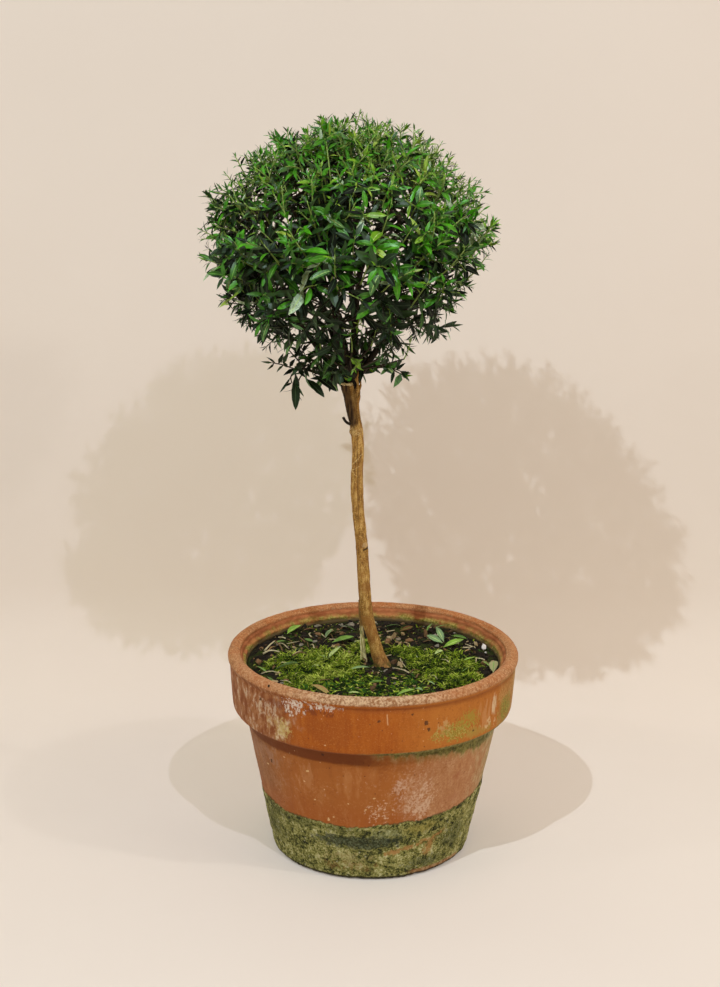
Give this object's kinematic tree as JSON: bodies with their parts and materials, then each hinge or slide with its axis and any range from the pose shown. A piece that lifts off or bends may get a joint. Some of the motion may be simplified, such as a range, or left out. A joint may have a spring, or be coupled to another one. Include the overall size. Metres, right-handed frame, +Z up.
{
  "type": "standard lollipop topiary",
  "caption": "Small-leaved myrtle grown as a standard: a clipped ball of foliage on one bare leaning stem, in a weathered clay pot with a deep rim and mossy soil.",
  "frame": {"origin": "centre of the pot's flat underside, on the pot's axis", "axes": "+Z up along the pot's axis, -Y towards the side seen from the front, +X to that side's right"},
  "size_m": [0.221, 0.21, 0.5235],
  "materials": {
    "pot": "matte",
    "soil": "matte",
    "moss": "matte",
    "bark": "matte",
    "dead_wood": "matte",
    "leaves": "satin",
    "litter": "matte"
  },
  "bodies": {
    "root": {"pot": "pot", "soil": "soil", "moss_left": "moss", "moss_right": "moss", "trunk": "bark", "dead_side_shoot": "dead_wood", "old_leader": "bark", "bough_lower_front": "bark", "leaves_lower_front": "leaves", "bough_lower_front_left": "bark", "leaves_lower_front_left": "leaves", "bough_lower_back_left": "bark", "leaves_lower_back_left": "leaves", "bough_lower_back_right": "bark", "leaves_lower_back_right": "leaves", "bough_lower_front_right": "bark", "leaves_lower_front_right": "leaves", "bough_upper_front_left": "bark", "leaves_upper_front_left": "leaves", "bough_upper_back_left": "bark", "leaves_upper_back_left": "leaves", "bough_upper_back_right": "bark", "leaves_upper_back_right": "leaves", "bough_upper_front_right": "bark", "leaves_upper_front_right": "leaves", "bough_top": "bark", "leaves_top": "leaves", "bough_tuft_left": "bark", "leaves_tuft_left": "leaves", "bough_tuft_right": "bark", "leaves_tuft_right": "leaves"}
  },
  "joints": []
}
